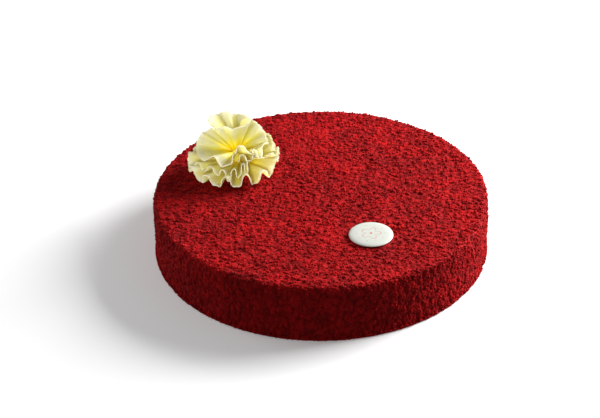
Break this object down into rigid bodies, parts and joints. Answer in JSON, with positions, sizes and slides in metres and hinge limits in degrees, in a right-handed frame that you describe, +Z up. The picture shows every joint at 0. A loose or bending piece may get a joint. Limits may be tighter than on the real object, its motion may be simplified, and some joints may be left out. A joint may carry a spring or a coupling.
{
  "type": "red velvet cake",
  "caption": "Low round red velvet cake coated in coarse red crumb, with a ruffled pale yellow chocolate flower and a small plain chocolate disc on top.",
  "frame": {"origin": "middle of the cake's flat base", "axes": "+Z up; the camera of the reference view looks along +Y from above, so the disc is towards -Y and the flower towards -X and +Y"},
  "size_m": [0.251, 0.251, 0.0928],
  "materials": {
    "red_crumb": "coarse dry cake crumb, dark red, wholly matte",
    "ivory_chocolate": "smooth moulded white chocolate, soft sheen",
    "yellow_chocolate": "thin shaved pale yellow chocolate, satin, whiter at the rims"
  },
  "bodies": {
    "root": {"cake": "red_crumb", "disc": "ivory_chocolate", "rosette": "yellow_chocolate"}
  },
  "joints": []
}
